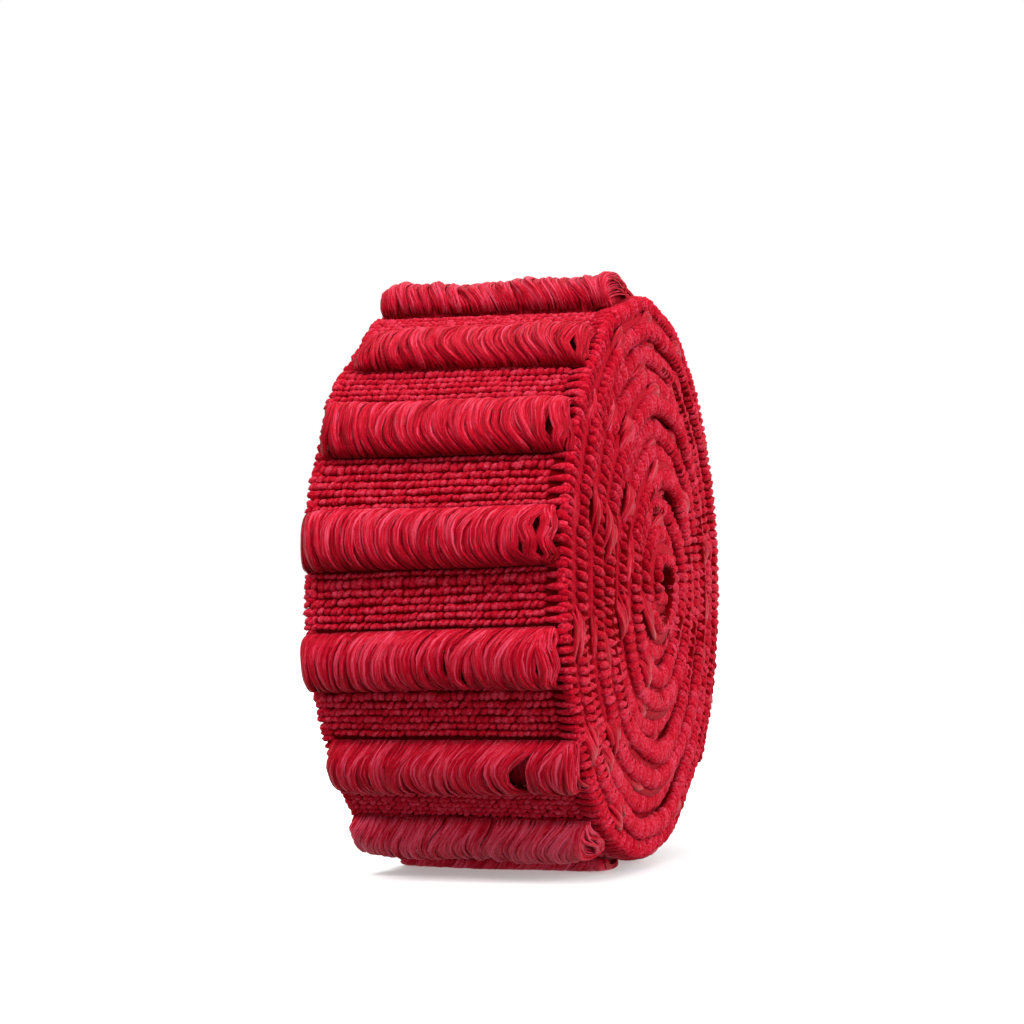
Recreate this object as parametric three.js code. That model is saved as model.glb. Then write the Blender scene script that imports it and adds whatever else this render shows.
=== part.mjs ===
// A roll of wide woven elastic, wound on itself and standing on its rim.
//
// The strip has a ribbed ground weave. Bars of loose floating yarn cross it at even steps, on the side
// that faces outwards. On the outer turn the bars stand proud. Between the turns they are squashed, and
// each turn rides up a little over the bars below it.
//
// The roll's axis runs along X, the front of the outer turn faces -Y, and Z is up. Angles are measured
// about the axis, from the front, over the top, to the back. All sizes are in millimetres.

import * as THREE from 'three';

// The strip
const STRIP_WIDTH = 60;
const STRIP_THICKNESS = 3.5;
const EDGE_ROUND = 1.1;
const RIBS_BETWEEN_BARS = 6;
const RIB_DEPTH = 0.7;
const RIB_STEPS = [
	{ share: 0, depth: RIB_DEPTH },
	{ share: 0.3, depth: 0 },
	{ share: 0.7, depth: 0 },
];

// The float bars, which cross all of the strip but its edges
const BAR_PITCH = 24.15;
const BAR_LENGTH = 12.6;
const BAR_LEFT = -27.6;
const BAR_RIGHT = 26.8;
const BAR_HEIGHT = 5.4;
const BAR_LUMP = 0.09;
const BAR_WANDER = 0.5;

// The winding
const TURN_PITCH = 5.6;
const CORE_RADIUS = 1.2;
const START_ANGLE = THREE.MathUtils.degToRad( 213 );
const END_ANGLE = THREE.MathUtils.degToRad( 222 );
const WHOLE_TURNS = 11;
const FIRST_BAR_ANGLE = THREE.MathUtils.degToRad( 8.4 );

// The hole is squashed flat, and the turns round it less and less
const CORE_FLATTENING = 1.6;
const CORE_FADE = 1.2;
const CORE_TILT = THREE.MathUtils.degToRad( 195 );

// A turn rises over the bars of the turns below it
const BAR_LIFT = 0.6;
const LIFT_FADE = 0.5;
const LIFT_TURNS = 3;
const TURN_CLEARANCE = 0.5;

// The middle of the roll has slipped out towards +X
const SLIP = 3;

// Where the axis lies: the floor flattens the two lowest bars
const AXIS_Y = - 1.5;
const AXIS_Z = 64;

// The steps of the mesh
const WIDEST_STEP = THREE.MathUtils.degToRad( 16 );
const BACK_STEP = 5;
const SQUASHED_BAR_STEPS = [ - 1, - 0.6, 0, 0.6, 1 ];
const LOOSE_BAR_STEPS = 6;
const BAR_COLUMNS = [ - 1, - 0.96, - 0.7, - 0.35, 0, 0.35, 0.7, 0.96, 1 ];

const RIB_PITCH = ( BAR_PITCH - BAR_LENGTH ) / ( RIBS_BETWEEN_BARS + 0.5 );
const FULL_TURN = 2 * Math.PI;
const WINDING_END = WHOLE_TURNS * FULL_TURN + END_ANGLE - START_ANGLE;
const OUTER_TURN_START = WINDING_END - FULL_TURN;

// Length along the middle of the strip, from the core to a winding angle, and back
const LENGTH_LINEAR = CORE_RADIUS + STRIP_THICKNESS / 2;
const LENGTH_SQUARE = TURN_PITCH / ( 2 * FULL_TURN );

function lengthAt( winding ) {

	return LENGTH_LINEAR * winding + LENGTH_SQUARE * winding * winding;

}

function windingAt( length ) {

	const root = Math.sqrt( LENGTH_LINEAR ** 2 + 4 * LENGTH_SQUARE * length );
	return ( root - LENGTH_LINEAR ) / ( 2 * LENGTH_SQUARE );

}

// The bar at the front of the outer turn fixes all the others
const FRONT_WINDING = FIRST_BAR_ANGLE - START_ANGLE + WHOLE_TURNS * FULL_TURN;
const FRONT_BAR = Math.floor( lengthAt( FRONT_WINDING ) / BAR_PITCH );
const FIRST_BAR = lengthAt( FRONT_WINDING ) - FRONT_BAR * BAR_PITCH;
const BAR_COUNT = Math.floor( ( lengthAt( WINDING_END ) - FIRST_BAR ) / BAR_PITCH ) + 1;

function barLength( index ) {

	return FIRST_BAR + index * BAR_PITCH;

}

// How far along the strip a place lies from the middle of the nearest bar
function fromBar( winding ) {

	const steps = ( lengthAt( winding ) - FIRST_BAR ) / BAR_PITCH;
	return Math.abs( steps - Math.round( steps ) ) * BAR_PITCH;

}

// How much the turn above is lifted over a place, from 0 between bars to 1 at a bar's middle
function liftShare( winding ) {

	if ( winding < 0 ) return 0;
	const share = fromBar( winding ) / ( 0.5 * BAR_PITCH );
	return Math.cos( 0.5 * Math.PI * share ) ** 2;

}

// Radius of the strip's back, the side that faces the core
function backRadius( winding ) {

	const angle = START_ANGLE + winding;
	const flatness = Math.exp( - winding / ( FULL_TURN * CORE_FADE ) ) * Math.cos( 2 * ( angle - CORE_TILT ) );
	let radius = CORE_RADIUS + TURN_PITCH * winding / FULL_TURN + CORE_FLATTENING * flatness;
	for ( let below = 1; below <= LIFT_TURNS; below ++ ) {

		radius += BAR_LIFT * LIFT_FADE ** ( below - 1 ) * liftShare( winding - below * FULL_TURN );

	}

	return radius;

}

function topRadius( winding ) {

	return backRadius( winding ) + STRIP_THICKNESS;

}

// Height of a bar that the next turn presses flat
function squashedHeight( winding ) {

	const room = backRadius( winding + FULL_TURN ) - topRadius( winding ) - TURN_CLEARANCE;
	const share = Math.min( fromBar( winding ) / ( 0.5 * BAR_LENGTH ), 1 );
	return room * Math.sqrt( 1 - share * share );

}

// How far a radius has slipped along the axis
function slip( radius ) {

	return SLIP * ( 0.5 - ( radius / topRadius( WINDING_END ) ) ** 2 );

}

// A point of the roll, which the floor flattens from below
function place( x, radius, winding ) {

	const angle = START_ANGLE + winding;
	const y = AXIS_Y - radius * Math.cos( angle );
	const z = AXIS_Z + radius * Math.sin( angle );
	return new THREE.Vector3( x + slip( radius ), y, Math.max( z, 0 ) );

}

// A mesh that is sewn from rows of points
class Sewing {

	constructor() {

		this.points = [];
		this.faces = [];

	}

	// A row keeps, for each of its points, how far along the row it lies
	row( entries ) {

		return entries.map( ( { along, point } ) => ( { along, index: this.points.push( point ) - 1 } ) );

	}

	// Fills the strip between two rows that run the same way, whatever their steps
	join( left, right ) {

		let i = 0;
		let j = 0;
		while ( i < left.length - 1 || j < right.length - 1 ) {

			const leftNext = i < left.length - 1 ? left[ i + 1 ].along : Infinity;
			const rightNext = j < right.length - 1 ? right[ j + 1 ].along : Infinity;
			if ( leftNext <= rightNext ) {

				this.faces.push( left[ i ].index, left[ i + 1 ].index, right[ j ].index );
				i ++;

			} else {

				this.faces.push( left[ i ].index, right[ j + 1 ].index, right[ j ].index );
				j ++;

			}

		}

	}

	geometry() {

		const geometry = new THREE.BufferGeometry().setFromPoints( this.points );
		geometry.setIndex( this.faces );
		geometry.computeVertexNormals();
		return geometry;

	}

}

// The ground weave across the strip, with rounded edges
function groundRow( winding, depth ) {

	const half = STRIP_WIDTH / 2;
	const radius = topRadius( winding ) - depth;
	return [
		{ x: - half, radius: radius - EDGE_ROUND },
		{ x: - half + EDGE_ROUND, radius },
		{ x: half - EDGE_ROUND, radius },
		{ x: half, radius: radius - EDGE_ROUND },
	];

}

// A squashed place, from edge to edge
function squashedRow( winding ) {

	const half = STRIP_WIDTH / 2;
	const radius = topRadius( winding ) + squashedHeight( winding );
	return [ { x: - half, radius }, { x: half, radius } ];

}

// One step over a loose bar. The bar is uneven: its crown rises, falls and wanders along the bar.
function looseBarRow( index, step ) {

	const turn = Math.PI * step / LOOSE_BAR_STEPS;
	const across = - Math.sign( Math.cos( turn ) ) * Math.abs( Math.cos( turn ) ) ** 0.8;
	const rise = Math.sin( turn ) ** 0.7;
	const middle = barLength( index );
	const centre = ( BAR_LEFT + BAR_RIGHT ) / 2;
	const halfWidth = ( BAR_RIGHT - BAR_LEFT ) / 2;
	const bar = BAR_COLUMNS.map( ( share ) => {

		const lump = 1 + BAR_LUMP * Math.sin( 5.2 * share + 2.3 * index );
		const wander = BAR_WANDER * Math.sin( 3.1 * share + 1.7 * index ) * rise;
		const end = Math.sqrt( 1 - Math.abs( share ) ** 14 );
		const winding = windingAt( middle + across * BAR_LENGTH / 2 + wander );
		const height = BAR_HEIGHT * lump * rise * end;
		return { x: centre + share * halfWidth, radius: topRadius( winding ) + height, winding };

	} );
	const winding = windingAt( middle + across * BAR_LENGTH / 2 );
	const [ leftEdge, leftShoulder, rightShoulder, rightEdge ] = groundRow( winding, 0 );
	return { winding, row: [ leftEdge, leftShoulder, ...bar, rightShoulder, rightEdge ] };

}

// The ribs of the ground weave from one place to another, each with a flat crown
function ribRows( from, to ) {

	const rows = [];
	for ( let start = from + 0.5 * RIB_PITCH; start + RIB_PITCH < to; start += RIB_PITCH ) {

		for ( const { share, depth } of RIB_STEPS ) {

			const winding = windingAt( start + share * RIB_PITCH );
			rows.push( { winding, row: groundRow( winding, depth ) } );

		}

	}

	return rows;

}

// The outer side of the strip, as rows across it from the core to the end
function topRows() {

	const squashed = [ 0 ];
	const loose = [];
	for ( let index = 0; index < BAR_COUNT; index ++ ) {

		const middle = barLength( index );
		const start = middle - BAR_LENGTH / 2;
		const finish = middle + BAR_LENGTH / 2;
		if ( start < 0 ) continue;
		if ( windingAt( start ) < OUTER_TURN_START ) {

			for ( const step of SQUASHED_BAR_STEPS ) squashed.push( windingAt( middle + step * BAR_LENGTH / 2 ) );
			squashed.push( windingAt( middle + BAR_PITCH / 2 ) );

		} else {

			for ( let step = 0; step <= LOOSE_BAR_STEPS; step ++ ) loose.push( looseBarRow( index, step ) );
			loose.push( ...ribRows( finish, Math.min( start + BAR_PITCH, lengthAt( WINDING_END ) ) ) );

		}

	}

	const inner = refined( squashed ).map( ( winding ) => ( { winding, row: squashedRow( winding ) } ) );
	return [ ...inner, ...loose, { winding: WINDING_END, row: groundRow( WINDING_END, 0 ) } ];

}

// Adds steps where two of them lie further apart than the mesh may leave them
function refined( windings ) {

	const result = [ windings[ 0 ] ];
	for ( let i = 1; i < windings.length; i ++ ) {

		const from = windings[ i - 1 ];
		const pieces = Math.max( 1, Math.ceil( ( windings[ i ] - from ) / WIDEST_STEP ) );
		for ( let piece = 1; piece <= pieces; piece ++ ) {

			result.push( from + ( windings[ i ] - from ) * piece / pieces );

		}

	}

	return result;

}

// The back of the strip, at even steps along it
function backWindings() {

	const whole = lengthAt( WINDING_END );
	const count = Math.round( whole / BACK_STEP );
	const windings = [];
	for ( let i = 0; i <= count; i ++ ) windings.push( windingAt( whole * i / count ) );
	return refined( windings );

}

function buildRoll() {

	const sewing = new Sewing();
	const half = STRIP_WIDTH / 2;
	const top = topRows().map( ( { winding, row } ) => sewing.row( row.map( ( entry ) => ( {
		along: entry.x,
		winding,
		point: place( entry.x, entry.radius, entry.winding ?? winding ),
	} ) ) ) );
	const windings = topRows().map( ( { winding } ) => winding );
	const back = backWindings().map( ( winding ) => ( {
		winding,
		row: sewing.row( [ - half, half ].map( ( x ) => ( {
			along: x,
			point: place( x, backRadius( winding ), winding ),
		} ) ) ),
	} ) );

	for ( let i = 1; i < top.length; i ++ ) sewing.join( top[ i - 1 ], top[ i ] );
	for ( let i = 1; i < back.length; i ++ ) sewing.join( back[ i ].row, back[ i - 1 ].row );

	// The two sides of the strip, and its cut ends
	const topEdge = ( column ) => top.map( ( row, i ) => ( { along: windings[ i ], index: row.at( column ).index } ) );
	const backEdge = ( column ) => back.map( ( { winding, row } ) => (
		{ along: winding, index: row.at( column ).index } ) );
	sewing.join( topEdge( 0 ), backEdge( 0 ) );
	sewing.join( backEdge( - 1 ), topEdge( - 1 ) );
	sewing.join( back[ 0 ].row, top[ 0 ] );
	sewing.join( top.at( - 1 ), back.at( - 1 ).row );

	const yarn = new THREE.MeshStandardMaterial( { color: 0xb01c3a, roughness: 0.9, metalness: 0 } );
	const mesh = new THREE.Mesh( sewing.geometry(), yarn );
	mesh.name = 'elastic_roll';
	return mesh;

}

const roll = new THREE.Group();
roll.add( buildRoll() );

export default roll;
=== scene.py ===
import math

import bpy
import numpy as np
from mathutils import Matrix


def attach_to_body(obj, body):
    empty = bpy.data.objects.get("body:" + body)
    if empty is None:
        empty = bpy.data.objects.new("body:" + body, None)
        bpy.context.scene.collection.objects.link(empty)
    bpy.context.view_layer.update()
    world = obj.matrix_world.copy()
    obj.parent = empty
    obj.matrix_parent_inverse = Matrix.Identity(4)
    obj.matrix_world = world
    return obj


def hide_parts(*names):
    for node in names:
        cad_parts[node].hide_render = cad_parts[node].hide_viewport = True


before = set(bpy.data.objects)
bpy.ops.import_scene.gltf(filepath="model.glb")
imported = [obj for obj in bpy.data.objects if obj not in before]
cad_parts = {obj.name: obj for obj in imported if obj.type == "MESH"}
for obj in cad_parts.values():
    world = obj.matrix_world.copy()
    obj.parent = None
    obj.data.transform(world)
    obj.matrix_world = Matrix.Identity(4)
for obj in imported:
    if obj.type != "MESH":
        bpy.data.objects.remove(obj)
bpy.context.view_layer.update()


# The camera
# It looks at the roll from the front and a little from its right, from the height of the core,
# through a long lens.

CAMERA_DISTANCE = 0.6
CAMERA_AZIMUTH = math.radians(17.9)
CAMERA_HEIGHT = 0.060
CAMERA_TILT = math.radians(2.0)
CAMERA_TURN = math.radians(0.47)
CAMERA_CENTRE_Y = -0.0001
CAMERA_LENS = 91.6
SENSOR_WIDTH = 36

bpy.ops.object.select_all(action="DESELECT")
bpy.ops.object.camera_add(
    location=(
        CAMERA_DISTANCE * math.sin(CAMERA_AZIMUTH),
        CAMERA_CENTRE_Y - CAMERA_DISTANCE * math.cos(CAMERA_AZIMUTH),
        CAMERA_HEIGHT,
    ),
    rotation=(math.radians(90) + CAMERA_TILT, 0, CAMERA_AZIMUTH + CAMERA_TURN),
)
camera = bpy.context.object
camera.name = "camera"
camera.data.sensor_width = SENSOR_WIDTH
camera.data.lens = CAMERA_LENS
bpy.context.scene.camera = camera


# The floor and the light
# A plain pale floor under a wide soft light from the front, above and left, with white all round.

FLOOR_SIZE = 12
FLOOR_GREY = (0.68, 0.68, 0.68, 1)
FLOOR_GLOW = 0.3
WHITE = (1, 1, 1, 1)
# The room's light rises from the first strength to the second between two heights of the sky
ROOM_HEIGHTS = (-0.4, 0.5)
ROOM_STRENGTHS = (0.48, 0.58)
LIGHT_PLACE = 2

bpy.ops.mesh.primitive_plane_add(size=FLOOR_SIZE, location=(0, 0, 0))
floor = bpy.context.object
floor.name = "floor"
floor_finish = bpy.data.materials.new("floor_paper")
floor_finish.use_nodes = True
floor_shader = floor_finish.node_tree.nodes["Principled BSDF"]
floor_shader.inputs["Base Color"].default_value = FLOOR_GREY
floor_shader.inputs["Roughness"].default_value = 0.9
floor_shader.inputs["Specular IOR Level"].default_value = 0.1
floor_shader.inputs["Emission Color"].default_value = WHITE
floor_shader.inputs["Emission Strength"].default_value = FLOOR_GLOW
floor.data.materials.append(floor_finish)
floor.visible_diffuse = False

world = bpy.data.worlds.new("studio")
bpy.context.scene.world = world
world.use_nodes = True
studio = world.node_tree
room_light = studio.nodes["Background"]
room_light.inputs["Color"].default_value = WHITE
room_side = studio.nodes.new("ShaderNodeTexCoord")
room_height = studio.nodes.new("ShaderNodeSeparateXYZ")
room_shade = studio.nodes.new("ShaderNodeMapRange")
room_shade.inputs["From Min"].default_value = ROOM_HEIGHTS[0]
room_shade.inputs["From Max"].default_value = ROOM_HEIGHTS[1]
room_shade.inputs["To Min"].default_value = ROOM_STRENGTHS[0]
room_shade.inputs["To Max"].default_value = ROOM_STRENGTHS[1]
studio.links.new(room_side.outputs["Generated"], room_height.inputs["Vector"])
studio.links.new(room_height.outputs["Z"], room_shade.inputs["Value"])
studio.links.new(room_shade.outputs["Result"], room_light.inputs["Strength"])
white_wall = studio.nodes.new("ShaderNodeBackground")
white_wall.inputs["Color"].default_value = WHITE
white_wall.inputs["Strength"].default_value = 1.0
seen_directly = studio.nodes.new("ShaderNodeLightPath")
either = studio.nodes.new("ShaderNodeMixShader")
studio.links.new(seen_directly.outputs["Is Camera Ray"], either.inputs[0])
studio.links.new(room_light.outputs["Background"], either.inputs[1])
studio.links.new(white_wall.outputs["Background"], either.inputs[2])
studio.links.new(either.outputs["Shader"], studio.nodes["World Output"].inputs["Surface"])
bpy.context.scene.view_settings.view_transform = "Standard"


def add_softlight(name, towards, strength, softness):
    """A soft light that comes from far away, from the given side."""
    bpy.ops.object.light_add(type="SUN", location=[LIGHT_PLACE * value for value in towards])
    softlight = bpy.context.object
    softlight.name = name
    softlight.data.energy = strength
    softlight.data.angle = math.radians(softness)
    x, y, z = towards
    softlight.rotation_euler = (math.atan2(math.hypot(x, y), z), 0, math.atan2(y, x) + math.pi / 2)


add_softlight("key_light", towards=(-0.35, -0.70, 0.90), strength=2.7, softness=25)
add_softlight("top_light", towards=(0.10, -0.10, 1.0), strength=1.9, softness=70)
add_softlight("front_light", towards=(-0.20, -1.0, 0.12), strength=0.6, softness=60)
add_softlight("side_light", towards=(0.98, -0.18, 0.32), strength=4.0, softness=50)


# The woven strip
# A wide elastic tape of knitted and woven yarn, wound on itself with no spool. This piece is the
# body of the tape, which the surface yarns cover. It is painted dark as painted shade, so that it
# shows only as the dark between them.

# The flat tape and its bars, in millimetres
MILLIMETRE = 0.001
STRIP_WIDTH = 60
STRIP_THICKNESS = 3.5
BAR_PITCH = 24.15
BAR_LENGTH = 12.6
BAR_LEFT = -27.6
BAR_RIGHT = 26.8
BAR_HEIGHT = 5.4

# The winding, from the squashed hole in its middle to the cut end under the roll
TURN_PITCH = 5.6
CORE_RADIUS = 1.2
CORE_FLATTENING = 1.6
CORE_FADE = 1.2
CORE_TILT = math.radians(195)
START_ANGLE = math.radians(213)
END_ANGLE = math.radians(222)
WHOLE_TURNS = 11
FIRST_BAR_ANGLE = math.radians(8.4)

# A bar lifts the turns above it, each by less
BAR_LIFT = 0.6
LIFT_FADE = 0.5
LIFT_TURNS = 3

# The face stands proud in the middle, and the inner turns drift from side to side
SLIP = 3.8
DRIFT = 0.95
DRIFT_TURNS = 3
WANDER = 0.22
WANDER_RATE = 2.41
WANDER_START = 2
TRUE_TURNS = 0.55

# Where the roll stands, and where it gives: at the floor, and at its back, which is flatter.
# For each flat place of the back: its angle, its depth as a share of the radius, and its reach
AXIS_Y = -1.5
AXIS_Z = 64
FLOOR_SOFTNESS = 1.3
FLOOR_ANGLE = 1.5 * math.pi
FLOOR_REACH = 0.45
BACK_FLATTENINGS = (
    (math.radians(231), 0.050, math.radians(23)),
    (math.radians(136), 0.020, math.radians(24)),
)

# The rows run a little askew at the front, the edges round off at the floor, and the left edge
# is tucked in above the front
ROW_SKEW = 0.032
SKEW_PLACE = math.radians(-5)
SKEW_REACH = 0.5
CORNER_ROUNDING = 1.5
CORNER_PLACE = 22
CORNER_WIDTH = 7
LEFT_TUCK = 1.7
TUCK_ANGLE = math.radians(60)
TUCK_REACH = 0.2
TUCK_WIDTH = 20
TUCK_START = 0.4

FULL_TURN = 2 * math.pi
WINDING_END = WHOLE_TURNS * FULL_TURN + END_ANGLE - START_ANGLE
LENGTH_LINEAR = CORE_RADIUS + STRIP_THICKNESS / 2
LENGTH_SQUARE = TURN_PITCH / (2 * FULL_TURN)


def length_at(winding):
    """Length of tape from the core to a winding angle."""
    return LENGTH_LINEAR * winding + LENGTH_SQUARE * winding**2


def winding_at(length):
    """Winding angle at a length of tape from the core."""
    root = np.sqrt(np.maximum(LENGTH_LINEAR**2 + 4 * LENGTH_SQUARE * length, 0))
    return (root - LENGTH_LINEAR) / (2 * LENGTH_SQUARE)


STRIP_LENGTH = length_at(WINDING_END)
FRONT_WINDING = FIRST_BAR_ANGLE - START_ANGLE + WHOLE_TURNS * FULL_TURN
FRONT_BAR = math.floor(length_at(FRONT_WINDING) / BAR_PITCH)
FIRST_BAR = length_at(FRONT_WINDING) - FRONT_BAR * BAR_PITCH
BAR_COUNT = math.floor((STRIP_LENGTH - FIRST_BAR) / BAR_PITCH) + 1
OUTER_BARS = [
    bar for bar in range(BAR_COUNT)
    if winding_at(FIRST_BAR + bar * BAR_PITCH - BAR_LENGTH / 2) >= WINDING_END - FULL_TURN
]


def lift_share(winding):
    """How much a place lifts the turn above it, from 0 between bars to 1 on a bar."""
    steps = (length_at(winding) - FIRST_BAR) / BAR_PITCH
    share = 2 * np.abs(steps - np.round(steps))
    return np.where(winding < 0, 0, np.cos(0.5 * math.pi * share) ** 2)


def top_radius(winding):
    """Radius of the tape's outer side."""
    angle = START_ANGLE + winding
    flatness = np.exp(-winding / (FULL_TURN * CORE_FADE)) * np.cos(2 * (angle - CORE_TILT))
    radius = CORE_RADIUS + TURN_PITCH * winding / FULL_TURN + CORE_FLATTENING * flatness
    for below in range(1, LIFT_TURNS + 1):
        lift = BAR_LIFT * LIFT_FADE ** (below - 1)
        radius = radius + lift * lift_share(winding - below * FULL_TURN)
    return radius + STRIP_THICKNESS


def edge_drift(winding):
    """How far a turn was wound to one side. The outer turn lies true."""
    fade = np.clip((WINDING_END - winding) / FULL_TURN - TRUE_TURNS, 0, 1)
    from_front = (FRONT_WINDING - winding) / DRIFT_TURNS
    wander = WANDER * np.sin(WANDER_RATE * winding + WANDER_START)
    return fade * (DRIFT * np.sin(from_front) + wander)


def wind(piece, flat):
    """Winds a piece that lies flat: x across the tape, y along it, z above its outer side."""
    from_skew = winding_at(flat[:, 1]) - FRONT_WINDING + FIRST_BAR_ANGLE - SKEW_PLACE
    skew = ROW_SKEW * np.exp(-((from_skew / SKEW_REACH) ** 2))
    winding = winding_at(flat[:, 1] + skew * flat[:, 0])
    radius = top_radius(winding) + flat[:, 2]
    angle = np.mod(START_ANGLE + winding, FULL_TURN)
    for middle, depth, reach in BACK_FLATTENINGS:
        radius = radius * (1 - depth * np.exp(-(((angle - middle) / reach) ** 2)))
    corner = np.clip((np.abs(flat[:, 0]) - CORNER_PLACE) / CORNER_WIDTH, 0, 1) ** 2
    at_floor = np.exp(-(((angle - FLOOR_ANGLE) / FLOOR_REACH) ** 2))
    radius = radius - CORNER_ROUNDING * corner * at_floor * (winding > WINDING_END - FULL_TURN)
    tuck = LEFT_TUCK * np.exp(-(((angle - TUCK_ANGLE) / TUCK_REACH) ** 2))
    tuck = tuck * np.clip(-flat[:, 0] / TUCK_WIDTH - TUCK_START, 0, 1)
    slip = SLIP * (0.5 - (radius / top_radius(WINDING_END)) ** 2)
    height = AXIS_Z + radius * np.sin(START_ANGLE + winding)
    pressed = FLOOR_SOFTNESS * np.exp(np.minimum(height / FLOOR_SOFTNESS - 1, 0))
    wound = np.stack(
        (
            flat[:, 0] + slip + edge_drift(winding) + tuck,
            AXIS_Y - radius * np.cos(START_ANGLE + winding),
            np.where(height < FLOOR_SOFTNESS, pressed, height),
        ),
        axis=1,
    )
    piece.data.vertices.foreach_set("co", (wound * MILLIMETRE).astype(np.float32).ravel())
    piece.data.update()


def points_of(piece):
    """The piece's points as an array."""
    points = np.empty(3 * len(piece.data.vertices), np.float32)
    piece.data.vertices.foreach_get("co", points)
    return points.reshape(-1, 3).astype(float)


def select_lengthwise(piece):
    """Selects the edges that run along the tape, in edit mode."""
    bpy.ops.mesh.select_all(action="DESELECT")
    bpy.ops.mesh.select_mode(type="EDGE")
    bpy.ops.object.mode_set(mode="OBJECT")
    for edge in piece.data.edges:
        start, end = (piece.data.vertices[i].co for i in edge.vertices)
        along = abs(end.y - start.y)
        edge.select = along > NO_LENGTH and abs(end.x - start.x) + abs(end.z - start.z) < NO_LENGTH
    bpy.ops.object.mode_set(mode="EDIT")


NO_LENGTH = 1e-6
BODY_DEPTH = 1.35
BODY_INSET = 0.6
BODY_LEFT_INSET = 1.1
BODY_ROUNDING = 0.9
# Painted shade: the tape body is made much darker than its yarn, as the shade between the surface
# yarns
BODY_PAINTED_SHADE = -0.5
# Two rounds of cuts across the tape, which lie closer together near the core
BODY_CUTS = 36
CUT_GRADING = 1.3
# The tape is drawn in at the core
CORE_NARROWING = 0.15
NARROWING_REACH = 1.5

bpy.ops.object.select_all(action="DESELECT")
bpy.ops.mesh.primitive_cube_add(size=1)
tape_body = bpy.context.object
tape_body.name = "tape_body"
bpy.ops.object.mode_set(mode="EDIT")
bpy.ops.transform.resize(
    value=(STRIP_WIDTH - 2 * BODY_INSET, 1, STRIP_THICKNESS - BODY_DEPTH)
)
bpy.ops.transform.translate(value=(0, 0.5, -(STRIP_THICKNESS + BODY_DEPTH) / 2))
select_lengthwise(tape_body)
bpy.ops.mesh.bevel(offset=BODY_ROUNDING, segments=3, affect="EDGES")
select_lengthwise(tape_body)
bpy.ops.mesh.subdivide(number_cuts=BODY_CUTS)
select_lengthwise(tape_body)
bpy.ops.mesh.subdivide(number_cuts=BODY_CUTS)
bpy.ops.object.mode_set(mode="OBJECT")
tape_points = points_of(tape_body)
tape_points[:, 1] = STRIP_LENGTH * np.clip(tape_points[:, 1], 0, 1) ** CUT_GRADING
tape_points[:, 0] *= 1 - CORE_NARROWING * np.exp(-winding_at(tape_points[:, 1]) / NARROWING_REACH)
tape_points[:, 0] += np.where(tape_points[:, 0] < 0, BODY_LEFT_INSET, 0)
wind(tape_body, tape_points)
bpy.ops.object.shade_smooth()

YARN_SHADOW = (0.10, 0.0, 0.0008, 1)
YARN_MIDDLE = (0.37, 0.0014, 0.012, 1)
YARN_LIGHT = (0.53, 0.055, 0.10, 1)
YARN_MIDDLE_PLACE = 0.55
YARN_SHEEN = (1.0, 0.38, 0.46, 1)
YARN_GLOSS = (1.0, 0.26, 0.34, 1)
FLUFF_FINENESS = 1600
FLUFF_RELIEF = 0.3


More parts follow.
